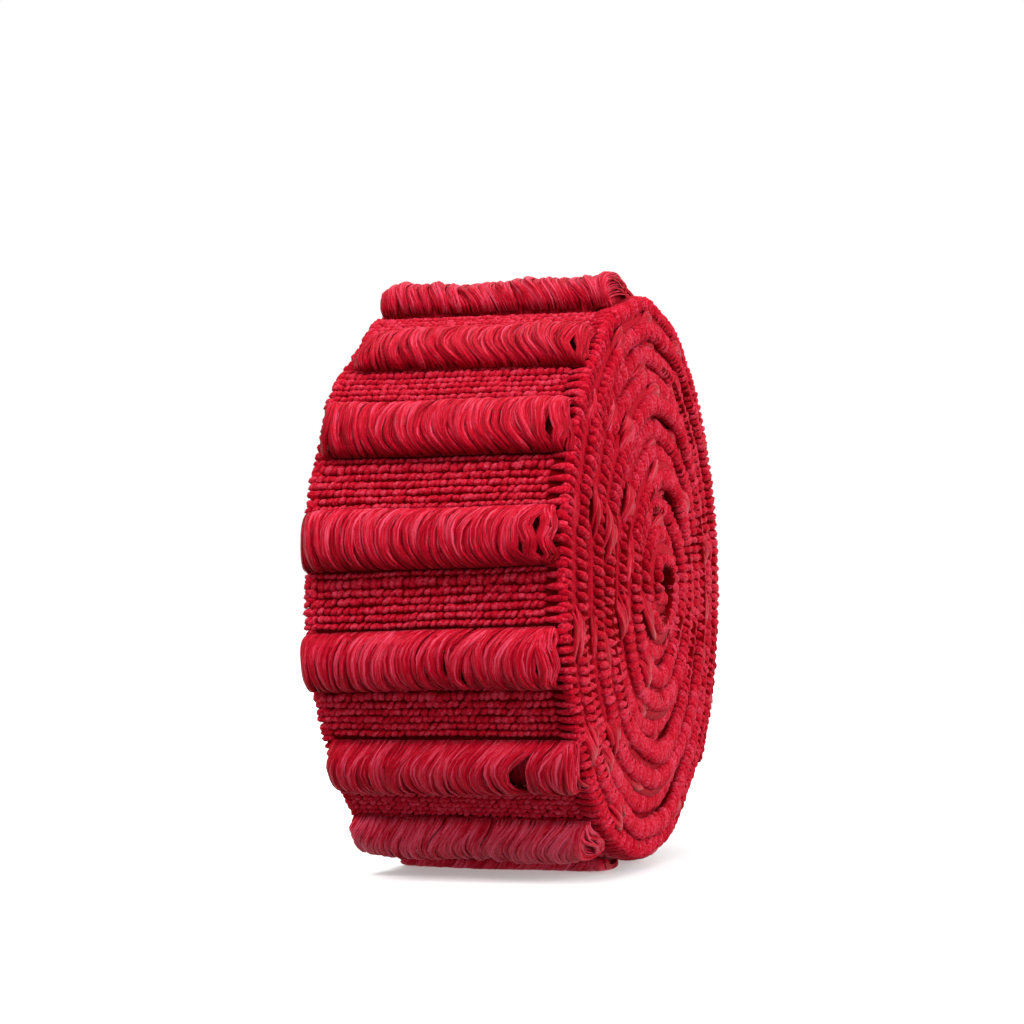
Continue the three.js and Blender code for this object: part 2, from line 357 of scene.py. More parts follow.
def dye_and_shade_yarn(name, across, along, relief, roughness, gloss, variation, felt):
    """A red yarn finish: fibres that follow the piece's yarn map, and a tone for each strand, which
    on some pieces also holds painted shade and painted highlight.

    across and along say how fine its fibres are each way, relief how deep they lie in metres,
    variation how much their tone differs, and felt how fluffy the yarn is.
    """
    finish = bpy.data.materials.new(name)
    finish.use_nodes = True
    nodes = finish.node_tree.nodes
    links = finish.node_tree.links
    shader = nodes["Principled BSDF"]
    shader.inputs["Roughness"].default_value = roughness
    shader.inputs["IOR"].default_value = 1.28
    shader.inputs["Sheen Weight"].default_value = 0.03
    shader.inputs["Sheen Roughness"].default_value = 0.45
    shader.inputs["Sheen Tint"].default_value = YARN_SHEEN
    shader.inputs["Specular IOR Level"].default_value = gloss
    shader.inputs["Specular Tint"].default_value = YARN_GLOSS

    yarn_map = nodes.new("ShaderNodeUVMap")
    yarn_map.uv_map = "yarn"
    stretch = nodes.new("ShaderNodeMapping")
    stretch.inputs["Scale"].default_value = (across, along, 1)
    links.new(yarn_map.outputs["UV"], stretch.inputs["Vector"])
    fibres = nodes.new("ShaderNodeTexNoise")
    fibres.noise_dimensions = "2D"
    fibres.inputs["Scale"].default_value = 1
    fibres.inputs["Detail"].default_value = 4
    fibres.inputs["Roughness"].default_value = 0.72
    links.new(stretch.outputs["Vector"], fibres.inputs["Vector"])

    place = nodes.new("ShaderNodeTexCoord")
    fluff = nodes.new("ShaderNodeTexNoise")
    fluff.inputs["Scale"].default_value = FLUFF_FINENESS
    fluff.inputs["Detail"].default_value = 2
    links.new(place.outputs["Object"], fluff.inputs["Vector"])

    tone_and_shading = nodes.new("ShaderNodeAttribute")
    tone_and_shading.attribute_name = "tone_and_shading"
    fibre_share = nodes.new("ShaderNodeMath")
    fibre_share.operation = "MULTIPLY_ADD"
    fibre_share.inputs[1].default_value = variation
    fibre_share.inputs[2].default_value = 0.5 - 0.5 * variation - 0.5 * felt
    links.new(fibres.outputs["Fac"], fibre_share.inputs[0])
    fluff_share = nodes.new("ShaderNodeMath")
    fluff_share.operation = "MULTIPLY_ADD"
    fluff_share.inputs[1].default_value = felt
    links.new(fluff.outputs["Fac"], fluff_share.inputs[0])
    links.new(fibre_share.outputs["Value"], fluff_share.inputs[2])
    shade = nodes.new("ShaderNodeMath")
    shade.operation = "ADD"
    links.new(fluff_share.outputs["Value"], shade.inputs[0])
    links.new(tone_and_shading.outputs["Fac"], shade.inputs[1])
    dye_and_shade = nodes.new("ShaderNodeValToRGB")
    dye_and_shade.color_ramp.elements[0].position = 0.0
    dye_and_shade.color_ramp.elements[0].color = YARN_SHADOW
    dye_and_shade.color_ramp.elements[1].position = 1.0
    dye_and_shade.color_ramp.elements[1].color = YARN_LIGHT
    middle = dye_and_shade.color_ramp.elements.new(YARN_MIDDLE_PLACE)
    middle.color = YARN_MIDDLE
    links.new(shade.outputs["Value"], dye_and_shade.inputs["Fac"])
    links.new(dye_and_shade.outputs["Color"], shader.inputs["Base Color"])

    relief_sum = nodes.new("ShaderNodeMath")
    relief_sum.operation = "MULTIPLY_ADD"
    relief_sum.inputs[1].default_value = FLUFF_RELIEF + felt
    links.new(fluff.outputs["Fac"], relief_sum.inputs[0])
    links.new(fibres.outputs["Fac"], relief_sum.inputs[2])
    bump = nodes.new("ShaderNodeBump")
    bump.inputs["Strength"].default_value = 0.8
    bump.inputs["Distance"].default_value = relief
    links.new(relief_sum.outputs["Value"], bump.inputs["Height"])
    links.new(bump.outputs["Normal"], shader.inputs["Normal"])
    return finish


def map_yarn(piece, across, along, tone_and_shading):
    """Gives a piece its yarn map, in millimetres, and the tone of each point, with any painted shade
    and painted highlight in it.
    """
    corners = np.empty(len(piece.data.loops), np.int32)
    piece.data.loops.foreach_get("vertex_index", corners)
    for old in list(piece.data.uv_layers):
        piece.data.uv_layers.remove(old)
    yarn_map = piece.data.uv_layers.new(name="yarn")
    places = np.stack((across[corners], along[corners]), axis=1)
    yarn_map.data.foreach_set("uv", places.astype(np.float32).ravel())
    tones = piece.data.attributes.new("tone_and_shading", "FLOAT", "POINT")
    tones.data.foreach_set("value", np.asarray(tone_and_shading, np.float32))


def attach(piece, finish):
    """The piece stands for the roll, takes its yarn and moves with it."""
    piece.data.materials.clear()
    piece.data.materials.append(finish)
    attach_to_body(piece, "root")
    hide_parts("elastic_roll")


tape_finish = dye_and_shade_yarn(
    "tape_inside", across=1.5, along=1.5, relief=0.0002,
    roughness=0.9, gloss=0.05, variation=0.3, felt=0.3,
)
map_yarn(tape_body, tape_points[:, 0], tape_points[:, 1], np.full(len(tape_points), BODY_PAINTED_SHADE))
attach(tape_body, tape_finish)


# The ground weave
# Twisted rubber-cored yarn that crosses the tape in close rows, seven between two bars. Each row
# is bound down at even steps, so it swells into beads. It's worked on the outer turn, which shows.

# Each row's place down from the bar above it, and its width
ROW_PLACES = (0.45, 2.25, 4.25, 5.95, 7.65, 9.32, 10.95)
ROW_WIDTHS = (0.66, 1.22, 0.90, 0.92, 0.92, 0.90, 0.84)
ROW_WAVE = 0.12
ROW_WAVE_RATE = 0.35
BEAD_PITCH = 1.48
BEADS_IN_ROW = 36
BEAD_LEFT = -28.0
BEAD_SLANT = 0.24
BEAD_LENGTHS = (0.94, 1.27)
BEAD_HEIGHTS = (0.85, 1.15)
BEAD_FILL = 0.94
BEAD_FOOT = -0.05
BEAD_TONES = (-0.10, 0.14)
# Painted shade and painted highlight on each bead, by its height
BEAD_SHADING = 0.30
BEAD_SHADING_HEIGHT = 0.6
GROUND_DEPTH = -1.35

ground_finish = dye_and_shade_yarn(
    "ground_yarn", across=2.2, along=2.2, relief=0.00025,
    roughness=0.6, gloss=0.35, variation=1.0, felt=0.5,
)


def repeat(piece, count, step):
    """Copies a piece in a line, as one mesh. The step keeps the copies apart until they are laid."""
    array = piece.modifiers.new("repeat", "ARRAY")
    array.count = count
    array.use_relative_offset = False
    array.use_constant_offset = True
    array.constant_offset_displace = step
    bpy.ops.object.modifier_apply(modifier=array.name)


# One stretch of ground before the first bar, and one after each
sections = [FIRST_BAR + bar * BAR_PITCH + BAR_LENGTH / 2 for bar in OUTER_BARS]
before_first = FIRST_BAR + OUTER_BARS[0] * BAR_PITCH - BAR_LENGTH / 2 - (BAR_PITCH - BAR_LENGTH)
sections = [before_first] + sections

bpy.ops.object.select_all(action="DESELECT")
bpy.ops.mesh.primitive_uv_sphere_add(segments=7, ring_count=5, radius=1)
ground_beads = bpy.context.object
ground_beads.name = "ground_beads"
bpy.ops.object.mode_set(mode="EDIT")
bpy.ops.mesh.select_all(action="SELECT")
bpy.ops.mesh.bisect(
    plane_co=(0, 0, BEAD_FOOT), plane_no=(0, 0, 1), use_fill=True, clear_inner=True
)
bpy.ops.object.mode_set(mode="OBJECT")
bead = points_of(ground_beads)
repeat(ground_beads, BEADS_IN_ROW, (BEAD_PITCH, 0, 0))
repeat(ground_beads, len(ROW_PLACES), (0, 2, 0))
repeat(ground_beads, len(sections), (0, 20, 0))

dice = np.random.default_rng(11)
shape = (len(sections), len(ROW_PLACES), BEADS_IN_ROW, 1)
lying = np.arange(BEADS_IN_ROW).reshape(1, 1, -1, 1)
row_place = np.array(ROW_PLACES).reshape(1, -1, 1, 1)
row_width = np.array(ROW_WIDTHS).reshape(1, -1, 1, 1)
row_start = dice.uniform(0, 6, (shape[0], shape[1], 1, 1))
row_wave = ROW_WAVE * np.sin(ROW_WAVE_RATE * lying + row_start)
bead_x = BEAD_LEFT + BEAD_PITCH * (lying + dice.uniform(-0.16, 0.16, shape))
bead_y = np.array(sections).reshape(-1, 1, 1, 1) + BAR_PITCH - BAR_LENGTH - row_place
bead_y = bead_y + row_wave + dice.uniform(-0.10, 0.10, shape) * row_width**3
bead_long = dice.uniform(*BEAD_LENGTHS, shape)
bead_wide = BEAD_FILL * row_width * (1 + dice.uniform(-0.13, 0.13, shape) * row_width**2)
bead_high = dice.uniform(*BEAD_HEIGHTS, shape) * (0.55 + 0.45 * row_width)
bead_turn = BEAD_SLANT + dice.uniform(-0.3, 0.3, shape)
bead_lump = 1 + dice.uniform(-0.09, 0.09, (*shape[:3], len(bead)))
bead_across = bead[:, 0] * bead_long * bead_lump
bead_along = bead[:, 1] * bead_wide * bead_lump
ground_points = np.stack(
    (
        bead_x + bead_across,
        bead_y + bead_along + bead_turn * bead_across,
        GROUND_DEPTH + bead[:, 2] * bead_high,
    ),
    axis=-1,
).reshape(-1, 3)
bead_tone_and_shade = np.broadcast_to(dice.uniform(*BEAD_TONES, shape), bead_across.shape)
# Painted shade and painted highlight: each bead is painted lighter at its top and darker at its foot
bead_tone_and_shade = bead_tone_and_shade + BEAD_SHADING * (bead[:, 2] - BEAD_SHADING_HEIGHT)
map_yarn(ground_beads, ground_points[:, 0], ground_points[:, 1], bead_tone_and_shade.ravel())
wind(ground_beads, ground_points)
bpy.ops.object.shade_smooth()
attach(ground_beads, ground_finish)


# The selvedges
# At both edges the crossing yarn turns round and goes back, in a row of fat knots that wrap the
# edge. They make the two faces of the roll, turn on turn. On the tread, at the right edge, each
# ends in a short rung.

KNOTS_PER_BAR = 11
KNOT_PITCH = BAR_PITCH / KNOTS_PER_BAR
KNOT_PLACE = 28.4
LEFT_KNOT_PLACE = 27.4
KNOT_DEPTH = -1.9
LEFT_KNOT_DROP = 0.5
KNOT_HALF_WIDTH = 1.5
KNOT_HALF_LENGTH = 0.96
KNOT_HALF_HEIGHT = 2.2
KNOT_TWIST = 0.30
KNOT_LEAN = 0.25
KNOT_SQUARENESS = 0.75
KNOT_TONES = (-0.08, 0.14)

# Below, above and behind the core the knots are rubbed into smooth bands: how much at most, then
# the shares of the way forwards and upwards, and the share taken off
FELTINGS = ((1.0, 0, -1.25, 0.15), (0.75, 0, 1.6, 0.7), (0.8, -2.2, 0, 0.7))

# The turns next to the hole are lower, and sunk at the very middle
CORE_WINDING = 5.2
CORE_REACH = 3.2
CORE_THINNING = 0.36
CORE_SINKING = 0.8
SINKING_REACH = 0.7
BULGE = 0.45

# A rung's path: x and height, then its half width at each of those points
RUNG_PATH = ((24.2, -1.25), (25.4, -0.72), (26.8, -0.42), (28.2, -0.35), (29.3, -0.85))
RUNG_HALF_WIDTHS = (0.30, 0.60, 0.78, 0.84, 0.62)
RUNG_HALF_THICKNESS = 0.72
RUNG_CROWDING = 2.9
RUNG_STRETCH = 0.19
RUNG_TONES = (-0.12, 0.12)

selvedge_finish = dye_and_shade_yarn(
    "selvedge_yarn", across=1.2, along=2.6, relief=0.0002,
    roughness=0.7, gloss=0.25, variation=0.8, felt=0.8,
)


def turn_outwards():
    """Turns the faces of the piece in hand outwards and smooths them."""
    bpy.ops.object.mode_set(mode="EDIT")
    bpy.ops.mesh.select_all(action="SELECT")
    bpy.ops.mesh.normals_make_consistent(inside=False)
    bpy.ops.object.mode_set(mode="OBJECT")
    bpy.ops.object.shade_smooth()


knot_count = int(STRIP_LENGTH / KNOT_PITCH)
for side, name in ((1, "right_selvedge"), (-1, "left_selvedge")):
    bpy.ops.object.select_all(action="DESELECT")
    bpy.ops.mesh.primitive_uv_sphere_add(segments=8, ring_count=6, radius=1)
    selvedge = bpy.context.object
    selvedge.name = name
    bpy.ops.object.mode_set(mode="EDIT")
    bpy.ops.transform.rotate(value=math.pi / 2, orient_axis="Y", center_override=(0, 0, 0))
    bpy.ops.object.mode_set(mode="OBJECT")
    knot = points_of(selvedge)
    repeat(selvedge, knot_count, (0, 3, 0))
    dice = np.random.default_rng(23 + side)
    shape = (knot_count, 1)
    place = KNOT_PITCH * (np.arange(knot_count)[:, None] + 0.5) + dice.uniform(-0.14, 0.14, shape)
    knot_winding = winding_at(place)
    from_outside = (WINDING_END - knot_winding) / FULL_TURN
    forwards = np.cos(START_ANGLE + knot_winding)
    upwards = np.sin(START_ANGLE + knot_winding)
    felted = np.zeros(shape)
    for most, by_forwards, by_upwards, less in FELTINGS:
        rubbed = np.clip(by_forwards * forwards + by_upwards * upwards - less, 0, 1)
        felted = np.maximum(felted, most * rubbed)
    felted = felted * np.clip(from_outside - 0.6, 0, 1) * (0.8 + 0.2 * np.sin(9 * knot_winding))
    long = KNOT_HALF_LENGTH * (1 + 0.85 * felted) * dice.uniform(0.88, 1.1, shape)
    deep = KNOT_HALF_HEIGHT * (1 + 0.22 * felted) * dice.uniform(0.9, 1.06, shape)
    near_core = np.exp(-(((knot_winding - CORE_WINDING) / CORE_REACH) ** 4))
    deep = deep * (1 - CORE_THINNING * near_core)
    proud = dice.uniform(-0.30, 0.25, shape) * (1 - 0.75 * felted)
    proud = proud * np.where(from_outside < 1, 0.4, 1)
    bulging = BULGE * np.sin(2.7 * knot_winding + 0.8) * np.sin(0.61 * knot_winding)
    bulging = bulging * np.clip(from_outside - 1.2, 0, 1)
    sinking = CORE_SINKING * np.exp(-knot_winding / SINKING_REACH)
    twist = KNOT_TWIST * (1 - 0.4 * felted) + dice.uniform(-0.12, 0.12, shape)
    knot_place = KNOT_PLACE if side > 0 else LEFT_KNOT_PLACE
    lump = 1 + dice.uniform(-0.12, 0.12, (knot_count, len(knot))) * (1 - 0.5 * felted)
    across = knot_place + proud + bulging - sinking + knot[:, 0] * KNOT_HALF_WIDTH * lump
    squared = np.sign(knot[:, 2]) * np.abs(knot[:, 2]) ** KNOT_SQUARENESS
    above = squared * deep * lump + KNOT_LEAN * knot[:, 0]
    above = above + KNOT_DEPTH - np.where((side < 0) & (from_outside < 1), LEFT_KNOT_DROP, 0)
    along = place + knot[:, 1] * long * lump + twist * knot[:, 2] * deep
    knot_points = np.stack((side * across, along, above), axis=-1).reshape(-1, 3)
    knot_points[:, 1] = np.clip(knot_points[:, 1], 0, STRIP_LENGTH)
    knot_tone = dice.uniform(*KNOT_TONES, shape) + 0.08 * felted + 0 * across
    map_yarn(
        selvedge,
        (knot[:, 1] * long + dice.uniform(0, 99, shape)).ravel(),
        (knot[:, 2] * deep + dice.uniform(0, 99, shape)).ravel(),
        knot_tone.ravel(),
    )
    wind(selvedge, knot_points)
    turn_outwards()
    attach(selvedge, selvedge_finish)


def add_lock(name, sides, cuts, ends="NGON"):
    """A round lock of yarn that lies along the tape, one long, with rings cut round it."""
    bpy.ops.object.select_all(action="DESELECT")
    bpy.ops.mesh.primitive_cylinder_add(vertices=sides, radius=1, depth=1, end_fill_type=ends)
    added = bpy.context.object
    added.name = name
    bpy.ops.object.mode_set(mode="EDIT")
    bpy.ops.transform.rotate(value=math.pi / 2, orient_axis="X", center_override=(0, 0, 0))
    select_lengthwise(added)
    bpy.ops.mesh.subdivide(number_cuts=cuts)
    bpy.ops.object.mode_set(mode="OBJECT")
    return added


rungs = add_lock("selvedge_rungs", sides=8, cuts=len(RUNG_PATH) - 2)
rung = points_of(rungs)
# They go round the outer turn, and just past where it covers the next
rung_count = int((STRIP_LENGTH - length_at(WINDING_END - 1.02 * FULL_TURN)) / KNOT_PITCH)
repeat(rungs, rung_count, (0, 3, 0))
ring = np.rint((rung[:, 1] + 0.5) * (len(RUNG_PATH) - 1)).astype(int)
path = np.array(RUNG_PATH)
path_step = np.gradient(path, axis=0)
path_step /= np.linalg.norm(path_step, axis=1, keepdims=True)
widths = np.array(RUNG_HALF_WIDTHS)
dice = np.random.default_rng(31)
shape = (rung_count, 1)
place = STRIP_LENGTH - KNOT_PITCH * (np.arange(rung_count)[:, None] + 0.5)
place = place + dice.uniform(-0.2, 0.2, shape)
# Beside the front bar they lie further apart than lower down
front_place = FIRST_BAR + (FRONT_BAR + 0.5) * BAR_PITCH
place = place + RUNG_CROWDING * np.sin((place - front_place) * FULL_TURN / (4 * BAR_PITCH))
spacing = 1 + RUNG_STRETCH * np.cos((place - front_place) * FULL_TURN / (4 * BAR_PITCH))
fat = dice.uniform(0.84, 1.06, shape)
up = rung[:, 2] * RUNG_HALF_THICKNESS * (0.5 + 0.5 * widths[ring])
rung_points = np.stack(
    (
        path[ring, 0] - path_step[ring, 1] * up + dice.uniform(-0.3, 0.3, shape) * (ring < 2),
        place
        + rung[:, 0] * widths[ring] * fat * spacing
        + dice.uniform(-0.2, 0.2, shape) * (ring / 4 - 0.5),
        path[ring, 1] + path_step[ring, 0] * up + dice.uniform(-0.12, 0.12, shape),
    ),
    axis=-1,
).reshape(-1, 3)
rung_points[:, 1] = np.clip(rung_points[:, 1], 0, STRIP_LENGTH)
map_yarn(
    rungs,
    (rung[:, 0] * widths[ring] + dice.uniform(0, 99, shape)).ravel(),
    (path[ring, 0] + 0 * place).ravel(),
    (dice.uniform(*RUNG_TONES, shape) + 0 * up).ravel(),
)
wind(rungs, rung_points)
turn_outwards()
attach(rungs, selvedge_finish)


# The float bars
# Locks of soft untwisted filament that leap over the ground weave and are bound down on both sides
# of each bar. They lie in two layers, bow and cross one another, and part here and there.

UNDER_LOCKS = 54
STRANDS = 228
END_STRANDS = 16
LOCK_RINGS = 10
LOCK_HALF_WIDTH = 0.78
LOCK_HALF_THICKNESS = 0.5
STRAND_HALF_WIDTH = 0.34
STRAND_WIDTH_SPREAD = 0.09
STRAND_HALF_THICKNESS = 0.20
STRAY_SHARE = 0.09
FILAMENT_DROOP = 0.25

# The bar's cross section and its crown along the bar
CROWN_SQUARENESS = 0.8
CROWN_FULLNESS = 0.7
CROWN_LUMPS = 0.09
CROWN_WANDER = 0.5
END_HEIGHT = 0.25
BAR_FOOT = -1.0

# Tones of the locks and their strands: the under-locks painted darker as shade, painted shade at a
# bar's lower foot, and a painted highlight along its brow
UNDER_PAINTED_SHADE = -0.12
STRAND_TONE = 0.02
LOCK_TONE_SPREAD = 0.10
STRAND_TONE_SPREAD = 0.09
FOOT_SHADE = 0.34
BROW_SHINE = 0.06
BROW_PLACE = 0.66
BROW_REACH = 0.16

# For each bar, counted from the one at the front: how far the locks' upper ends and lower ends lie
# to the right of their middles, and how much of that is left at the bar's left end
BAR_SETS = {
    -5: (3.6, 2.0, 0.5),
    -4: (4.0, 2.2, 0.6),
    -3: (4.0, 1.6, 0.6),
    -2: (4.4, 2.8, 0.6),
    -1: (3.8, 1.9, 0.25),
    0: (3.2, 3.0, 0.2),
    1: (2.4, 3.8, 0.15),
    2: (2.4, 4.2, 0.1),
    3: (-1.5, 3.4, 0.2),
    4: (-1.8, 2.0, 0.4),
}

# Where the locks part: x and the share of the way over the bar, then the half sizes of the hole
PARTINGS = {
    2: ((24.8, 0.36, 0.7, 0.12), (22.4, 0.30, 0.4, 0.10)),
    1: (
        (18.2, 0.40, 0.5, 0.11),
        (21.4, 0.43, 0.6, 0.12),
        (24.8, 0.38, 1.1, 0.12),
        (-26.0, 0.5, 0.4, 0.15),
    ),
    0: ((23.8, 0.58, 1.2, 0.08), (24.8, 0.30, 1.1, 0.08), (21.0, 0.34, 0.8, 0.08)),
    -1: ((25.0, 0.46, 0.7, 0.12), (8.0, 0.34, 0.5, 0.12), (4.2, 0.42, 0.4, 0.12)),
    -2: ((16.2, 0.48, 1.8, 0.26), (11.4, 0.40, 0.7, 0.14), (9.6, 0.43, 0.6, 0.13)),
    -3: ((24.5, 0.45, 1.0, 0.16),),
}

# How far a bar's left and right ends lie to the right of the usual place
BAR_ENDS = {
    4: (0, -3.0),
    3: (-0.5, 1.1),
    2: (3.0, 1.0),
    1: (1.2, 1.4),
    0: (0, 0.3),
    -1: (-0.9, 0.2),
    -2: (0.5, 2.0),
    -3: (-1.2, 0),
    -4: (1.0, -4.0),
}

# How square a bar's ends are, and the right ends that differ
END_SQUARENESS = 14
RIGHT_SQUARENESS = {3: 60, -4: 3}

# How full a bar is, how far up the tape it lies, how much lighter it is painted as painted light,
# and the tuft at its right end
BAR_SWELL = {4: 1.05, 3: 1.15, 2: 0.86, 1: 0.95, -4: 0.9}
BAR_MOVES = {2: -1.6, 1: -0.4, -3: 0.6}
BAR_PAINTED_LIGHT = {3: 0.06, -3: 0.18, -4: 0.12}
TOP_TUFT = {3: 0.36}
TUFT_FROM = 17
TUFT_WIDTH = 9

float_finish = dye_and_shade_yarn(
    "float_filament", across=1.9, along=0.15, relief=0.0002,
    roughness=0.45, gloss=0.25, variation=1.9, felt=0.2,
)


def bar_ends(from_front):
    """The x of a bar's left and right ends."""
    left_move, right_move = BAR_ENDS.get(from_front, (0, 0))
    return BAR_LEFT + left_move, BAR_RIGHT + right_move


def tuft_rise(from_front, x):
    """How much higher a bar stands towards the tuft at its right end."""
    return 1 + TOP_TUFT.get(from_front, 0) * np.clip((x - TUFT_FROM) / TUFT_WIDTH, 0, 1) ** 1.5


def bar_surface(bar, left, right, x, share):
    """Place along the tape and height of a bar's crown, a share of the way up over the bar."""
    turn = math.pi * np.clip(share, 0, 1)
    across = -np.sign(np.cos(turn)) * np.abs(np.cos(turn)) ** CROWN_SQUARENESS
    rise = np.sin(turn) ** CROWN_FULLNESS
    column = np.clip((x - (left + right) / 2) / ((right - left) / 2), -1, 1)
    lump = 1 + CROWN_LUMPS * np.sin(5.2 * column + 2.3 * bar)
    wander = CROWN_WANDER * np.sin(3.1 * column + 1.7 * bar) * rise
    angle = START_ANGLE + winding_at(FIRST_BAR + bar * BAR_PITCH)
    droop = -FILAMENT_DROOP * math.cos(angle) * rise
    right_squareness = RIGHT_SQUARENESS.get(bar - FRONT_BAR, END_SQUARENESS)
    squareness = np.where(column > 0, right_squareness, END_SQUARENESS)
    end = np.sqrt(1 - np.abs(column) ** squareness)
    high = BAR_HEIGHT * lump * rise * (END_HEIGHT + (1 - END_HEIGHT) * end)
    return across * BAR_LENGTH / 2 + wander + droop, high


def unit(vectors):
    """Vectors made one long."""
    return vectors / np.maximum(np.linalg.norm(vectors, axis=-1, keepdims=True), 1e-9)


for bar in OUTER_BARS:
    dice = np.random.default_rng(100 + bar)
    from_front = bar - FRONT_BAR
    usual = (dice.uniform(1.5, 4), dice.uniform(1.5, 4), dice.uniform(0.2, 0.6))
    upper_shift, lower_shift, left_share = BAR_SETS.get(from_front, usual)
    swell = BAR_SWELL.get(from_front, 1)
    left, right = bar_ends(from_front)
    facing = max(0.0, math.cos(START_ANGLE + winding_at(FIRST_BAR + bar * BAR_PITCH)))
    count = UNDER_LOCKS + STRANDS
    is_strand = (np.arange(count) >= UNDER_LOCKS)[:, None]

    # Where the locks part from each other, and the lock that each strand belongs to
    lock_ends = np.cumsum(0.6 + 2.6 * dice.uniform(0, 1, 60) ** 1.4)
    lock_ends = left + 0.2 + lock_ends[lock_ends < right - left - 1.2]
    lock_ends = np.concatenate(([left + 0.2], lock_ends, [right - 0.3]))
    strand_x = np.linspace(left + 0.35, right - 0.45, STRANDS - END_STRANDS)
    strand_x = np.concatenate((strand_x, np.linspace(right - 2.2, right - 0.45, END_STRANDS)))
    strand_lock = np.searchsorted(lock_ends, strand_x) - 1
    lock_middle = (lock_ends[:-1] + lock_ends[1:]) / 2
    lock_half = (lock_ends[1:] - lock_ends[:-1]) / 2
    under_x = np.linspace(left + 0.7, right - 0.8, UNDER_LOCKS)
    lock_x = np.concatenate((under_x, lock_middle[strand_lock]))[:, None]
    in_lock = np.concatenate((0 * under_x, strand_x - lock_middle[strand_lock]))[:, None]
    half = np.concatenate((0 * under_x + 0.6, lock_half[strand_lock]))[:, None]
    lock_dice = dice.uniform(-1, 1, (6, len(lock_middle)))
    under_dice = dice.uniform(-1, 1, (6, UNDER_LOCKS))
    lock_luck = np.concatenate((under_dice, lock_dice[:, strand_lock]), axis=1)[:, :, None]
    luck = dice.uniform(-1, 1, (6, count, 1))
    stray = is_strand & (dice.uniform(0, 1, (count, 1)) < STRAY_SHARE)

    float_bar = add_lock(f"float_bar_{bar - OUTER_BARS[0] + 1:02d}", sides=4, cuts=LOCK_RINGS)
    strand = points_of(float_bar)
    repeat(float_bar, count, (0, 3, 0))

    share = np.clip(strand[:, 1] + 0.5, 0, 1)[None, :]
    side_share = strand[:, 0][None, :]
    out_share = strand[:, 2][None, :]
    phases = dice.uniform(0, 6.28, 6)
    # How far each lock's two ends shift, less at the left, and none where the bar closes
    slow = np.sin(0.45 * lock_x + phases[0]) + 0.6 * np.sin(0.95 * lock_x + phases[1])
    ease = np.clip((lock_x - left) / 22, 0, 1)
    ease = left_share + (1 - left_share) * ease * ease * (3 - 2 * ease)
    finish_ease = np.clip((right - 1.2 - lock_x) / 6, -0.15, 1)
    upper_end = (upper_shift + 0.55 * slow) * ease * finish_ease
    lower_end = (lower_shift + 0.55 * slow) * ease * finish_ease
    upper_end = upper_end + 0.75 * lock_luck[0] + 0.18 * luck[0]
    lower_end = lower_end + 0.70 * lock_luck[1] + 0.14 * luck[1]
    upper_end = upper_end + np.where(stray, 1.3 * luck[4], 0)
    lower_end = lower_end + np.where(stray, 1.1 * luck[5], 0)
    s_sway = 0.35 * np.sin(0.7 * lock_x + phases[2]) + 0.55 * lock_luck[2] + 0.12 * luck[2]
    foot_spread = 0.38 + 0.50 * (1 - facing) ** 2 + 0.2 * lock_luck[3]
    wobble = 0.11 * luck[0] * np.sin(3 * math.pi * share + 9 * luck[5])
    strand_height = 0.955 + 0.045 * lock_luck[4] + 0.012 * luck[3]
    height_share = np.where(is_strand, strand_height, 0.90 + 0.03 * luck[3])
    # The last strands lie one under another and close the bar's right end
    in_end = np.arange(count)[:, None] - count + END_STRANDS
    end_height = 0.30 + 0.62 * (in_end * 7 % END_STRANDS) / END_STRANDS
    height_share = height_share * np.where(in_end >= 0, end_height, 1)
    crown = (0.35 + 0.26 * half) * (1 - (in_lock / half) ** 2) + np.where(stray, 0.22, 0)
    crown = np.where(is_strand & (in_end < 0), crown, 0)

    def strand_path(at):
        """The strands' middle lines, at a share of the way over the bar."""
        crossing = -np.cos(math.pi * at)
        shift = upper_end * np.clip(crossing, 0, 1) ** 1.8
        shift = shift + lower_end * np.clip(-crossing, 0, 1) ** 1.8
        spread = 1 - (1 - foot_spread) * np.clip(1 - at / 0.55, 0, 1) ** 1.2
        spread = spread * (1 + 0.12 * np.clip((at - 0.6) / 0.3, 0, 1))
        x = lock_x + in_lock * spread + shift + s_sway * np.sin(2 * math.pi * at) + wobble
        for gap_x, gap_at, gap_width, gap_length in PARTINGS.get(from_front, ()):
            near = np.exp(-(((lock_x - gap_x) / (1.7 * gap_width + 0.6)) ** 2))
            along_gap = np.exp(-(((at - gap_at) / gap_length) ** 2))
            x = x + (1.1 * gap_width + 0.3) * np.where(lock_x < gap_x, -1, 1) * near * along_gap
        y, high = bar_surface(bar, left, right, x, at)
        high = high * swell * tuft_rise(from_front, x)
        high = (high - 0.55) * height_share * (1 + 0.02 * np.sin(7 * at + 6 * lock_luck[5]))
        high = high + crown * np.sin(math.pi * np.clip(at, 0, 1) ** 0.58) ** 0.75
        return np.stack((x, y * np.where(is_strand, 0.95, 0.90), high), axis=-1)

